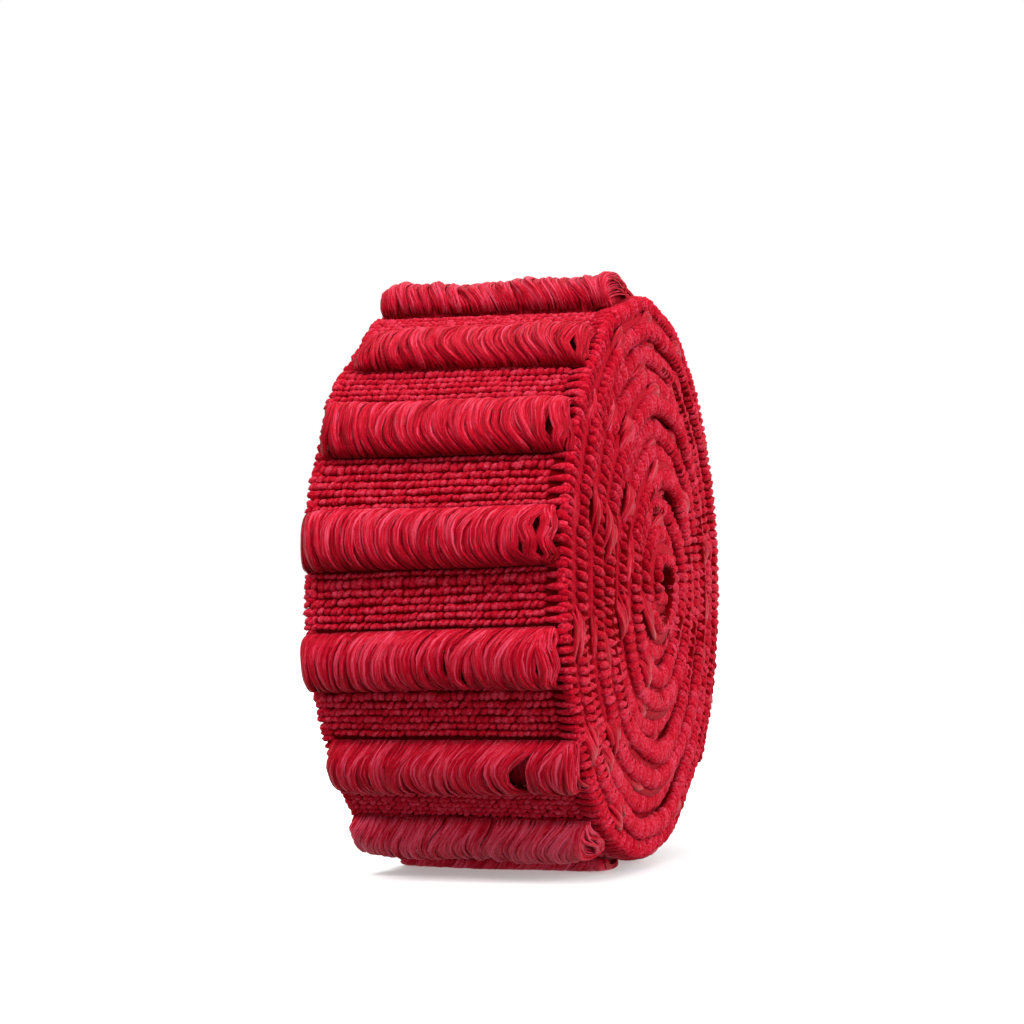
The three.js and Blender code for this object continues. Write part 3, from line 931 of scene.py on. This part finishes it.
    at = 0.012 + 0.976 * share + 0 * lock_x
    middle_line = strand_path(at)
    profile = strand_path(np.clip(at + 0.01, 0, 1)) - strand_path(np.clip(at - 0.01, 0, 1))
    forward = unit(profile)
    outward = unit(np.stack((0 * profile[..., 0], -profile[..., 2], profile[..., 1]), axis=-1))
    sideways = unit(np.cross(forward, outward))
    outward = np.cross(sideways, forward)
    closing = 0.35 + 0.65 * np.clip(np.minimum(share, 1 - share) * LOCK_RINGS, 0, 1)
    strand_half = STRAND_HALF_WIDTH + STRAND_WIDTH_SPREAD * luck[1]
    half_width = np.where(is_strand, strand_half, LOCK_HALF_WIDTH) * closing
    half_thick = np.where(is_strand, STRAND_HALF_THICKNESS, LOCK_HALF_THICKNESS) * closing
    bar_points = (
        middle_line
        + sideways * (half_width * side_share)[..., None]
        + outward * (half_thick * out_share)[..., None]
    ).reshape(-1, 3)
    bar_points[:, 2] = np.maximum(bar_points[:, 2], BAR_FOOT)
    strand_tone_and_shading = LOCK_TONE_SPREAD * lock_luck[5] + STRAND_TONE_SPREAD * luck[2] + STRAND_TONE
    # Painted shade: the under-locks are made darker than the strands over them
    strand_tone_and_shading = np.where(is_strand, strand_tone_and_shading, UNDER_PAINTED_SHADE)
    # Painted light: the top bar and the lowest bars are painted lighter
    strand_tone_and_shading = strand_tone_and_shading + BAR_PAINTED_LIGHT.get(from_front, 0)
    # Painted shade at the lower foot of bars that face forward, and a painted highlight along the
    # brow
    strand_tone_and_shading = strand_tone_and_shading - FOOT_SHADE * facing**2 * np.clip(1 - at / 0.5, 0, 1)
    strand_tone_and_shading = strand_tone_and_shading + BROW_SHINE * np.exp(-(((at - BROW_PLACE) / BROW_REACH) ** 2))
    map_yarn(
        float_bar,
        (half_width * side_share + in_lock + 7.3 * lock_luck[0]).ravel(),
        (at * 17 + 31 * lock_luck[1]).ravel(),
        strand_tone_and_shading.ravel(),
    )
    bar_points[:, 1] = bar_points[:, 1] + FIRST_BAR + bar * BAR_PITCH
    bar_points[:, 1] = bar_points[:, 1] + BAR_MOVES.get(from_front, 0)
    wind(float_bar, bar_points)
    turn_outwards()
    attach(float_bar, float_finish)


# The inner floats
# Under the locks that show, each bar is filled with the deeper layers of the same filament. They
# close the bar's two ends and its feet, and leave the partings open. They are painted darker as
# painted shade, the more so at the lower foot.

PADDING_HEIGHT = 0.80
PADDING_WIDTH = 0.86
PADDING_COLUMNS = 44
PADDING_SIDES = 22
PADDING_LEFT_GAP = 0.9
PADDING_GAPS = 2.6
PADDING_RIBS = 0.25
# Painted shade: the deeper layers are made darker than the locks over them
PADDING_PAINTED_SHADE = -0.12
PARTING_DEPTH = 0.75

inner_floats = add_lock("inner_floats", sides=PADDING_SIDES, cuts=PADDING_COLUMNS, ends="TRIFAN")
padding = points_of(inner_floats)
repeat(inner_floats, len(OUTER_BARS), (0, 3, 0))
reach = np.hypot(padding[:, 0], padding[:, 2])
round_it = np.arctan2(padding[:, 2], -padding[:, 0])
share = np.where(round_it >= 0, round_it / math.pi, np.where(round_it < -math.pi / 2, 1, 0))
padding_parts = []
padding_painted_shades = []
for bar in OUTER_BARS:
    from_front = bar - FRONT_BAR
    left, right = bar_ends(from_front)
    x = left + PADDING_LEFT_GAP + (right - left - PADDING_GAPS) * (padding[:, 1] + 0.5)
    at = 0.03 + 0.94 * share
    y, high = bar_surface(bar, left, right, x, at)
    high = high * BAR_SWELL.get(from_front, 1) * PADDING_HEIGHT
    high = high * tuft_rise(from_front, x)
    for gap_x, gap_at, gap_width, gap_length in PARTINGS.get(from_front, ()):
        near = np.exp(-(((x - gap_x) / (1.5 * gap_width + 1.0)) ** 4))
        high = high * (1 - PARTING_DEPTH * near)
    high = np.where(round_it >= 0, high, BAR_FOOT)
    ribs = PADDING_RIBS * np.sin(3.1 * x + 5 * share)
    high = np.where(reach > 0.5, high + ribs, 0.4 * high)
    place = FIRST_BAR + bar * BAR_PITCH + BAR_MOVES.get(from_front, 0)
    padding_parts.append(np.stack((x, place + PADDING_WIDTH * y * reach, high), axis=-1))
    # Painted shade: darker still at the bar's lower foot
    padding_painted_shades.append(PADDING_PAINTED_SHADE - 0.1 * (at < 0.15) + 0 * x)
padding_points = np.concatenate(padding_parts)
map_yarn(
    inner_floats,
    padding_points[:, 0] + 7 * np.tile(reach, len(OUTER_BARS)),
    17 * np.tile(share, len(OUTER_BARS)),
    np.concatenate(padding_painted_shades),
)
wind(inner_floats, padding_points)
turn_outwards()
attach(inner_floats, float_finish)


# The pressed floats
# Between the turns the same float bars are squashed flat. Their outermost locks bulge out of the
# two faces as smooth tufts, each as long as a bar is wide, and bound down at both tips.

BED_HALF_WIDTH = 28.3
BED_LEFT_INSET = 1.3
BED_THICKNESS = 3.4
BED_HEIGHT = 0.35
BED_START = 0.8
# Painted shade: the bed between the turns is made darker than its yarn
BED_PAINTED_SHADE = -0.12
TUFT_LOCKS = 4
TUFT_RINGS = 8
TUFT_INSET = 0.8
TUFT_BULGE = 2.0
TUFT_HEIGHT = 0.5
LOCK_SPACING = 0.85
LOCK_HALF_SIZES = (0.60, 1.30)
FLAP_LEAN = 2.6
TUFT_TONES = (-0.20, 0.02)
# Painted light: the tufts above the core are painted lighter
FLAP_PAINTED_LIGHT = 0.10

inner_bars = [
    bar for bar in range(BAR_COUNT)
    if bar not in OUTER_BARS and FIRST_BAR + bar * BAR_PITCH - BAR_LENGTH / 2 > 4
]
bpy.ops.object.select_all(action="DESELECT")
bpy.ops.mesh.primitive_cube_add(size=1)
pressed_bed = bpy.context.object
pressed_bed.name = "pressed_floats_bed"
bpy.ops.object.mode_set(mode="EDIT")
bpy.ops.transform.resize(value=(2 * BED_HALF_WIDTH, 1, BED_THICKNESS))
bpy.ops.transform.translate(value=(0, 0.5, 0))
select_lengthwise(pressed_bed)
bpy.ops.mesh.subdivide(number_cuts=BODY_CUTS)
select_lengthwise(pressed_bed)
bpy.ops.mesh.subdivide(number_cuts=BODY_CUTS)
bpy.ops.object.mode_set(mode="OBJECT")
bed_points = points_of(pressed_bed)
bed_end = length_at(WINDING_END - 1.06 * FULL_TURN)
bed_share = np.clip(bed_points[:, 1], 0, 1) ** CUT_GRADING
bed_points[:, 1] = BED_START + (bed_end - BED_START) * bed_share
bed_points[:, 2] += BED_HEIGHT
bed_points[:, 0] += np.where(bed_points[:, 0] < 0, BED_LEFT_INSET, 0)
# Painted shade on the bed between the turns
map_yarn(pressed_bed, bed_points[:, 0], bed_points[:, 1], np.full(len(bed_points), BED_PAINTED_SHADE))
wind(pressed_bed, bed_points)
bpy.ops.object.shade_smooth()
attach(pressed_bed, selvedge_finish)

for side, name in ((1, "pressed_floats_right"), (-1, "pressed_floats_left")):
    tufts = add_lock(name, sides=6, cuts=TUFT_RINGS)
    lock = points_of(tufts)
    count = TUFT_LOCKS * len(inner_bars)
    repeat(tufts, count, (0, 3, 0))
    dice = np.random.default_rng(57 + side)
    shape = (count, 1)
    which = np.tile(np.arange(TUFT_LOCKS), len(inner_bars))[:, None]
    middle = FIRST_BAR + BAR_PITCH * np.repeat(np.array(inner_bars), TUFT_LOCKS)[:, None]
    bulge = np.repeat(dice.uniform(0, 1, len(inner_bars)), TUFT_LOCKS)[:, None] ** 1.3
    share = np.clip(lock[:, 1] + 0.5, 0, 1)[None, :]
    arch = np.sin(math.pi * share)
    reach = dice.uniform(0.75, 1.05, shape)
    knot_place = KNOT_PLACE if side > 0 else LEFT_KNOT_PLACE
    # Above the core the tufts lie over as flaps
    tuft_angle = START_ANGLE + winding_at(middle)
    upper = np.clip(1.6 * np.sin(tuft_angle) - 0.3, 0, 1)
    bulge = np.maximum(bulge, upper * (0.45 + 0.4 * bulge))
    across = knot_place - TUFT_INSET + 0.2 * dice.uniform(-1, 1, shape)
    across = across + TUFT_BULGE * bulge * arch**0.8
    sway = dice.uniform(-0.6, 0.6, shape) * np.sin(2 * math.pi * share)
    sway = sway + FLAP_LEAN * upper * (share - 0.5)
    above = TUFT_HEIGHT + LOCK_SPACING * (which - 1.5) * (0.3 + bulge) + sway
    above = above + dice.uniform(-0.35, 0.35, shape) - 0.9 * (1 - arch)
    along = middle + (share - 0.5) * BAR_LENGTH * reach + dice.uniform(-0.9, 0.9, shape)
    fat = (0.25 + 0.75 * arch) * dice.uniform(0.75, 1.15, shape) * (0.75 + 0.5 * bulge)
    lean = dice.uniform(-0.7, 0.7, shape)
    out = LOCK_HALF_SIZES[0] * lock[:, 0] * fat
    up = LOCK_HALF_SIZES[1] * lock[:, 2] * fat
    tuft_points = np.stack(
        (side * (across + out + lean * up * 0.4), along, above + up), axis=-1
    ).reshape(-1, 3)
    # Painted light on the flaps above the core
    map_yarn(
        tufts,
        (up + dice.uniform(0, 99, shape)).ravel(),
        (share * 13 + dice.uniform(0, 99, shape)).ravel(),
        (dice.uniform(*TUFT_TONES, shape) + FLAP_PAINTED_LIGHT * upper + 0 * up).ravel(),
    )
    wind(tufts, tuft_points)
    turn_outwards()
    attach(tufts, float_finish)
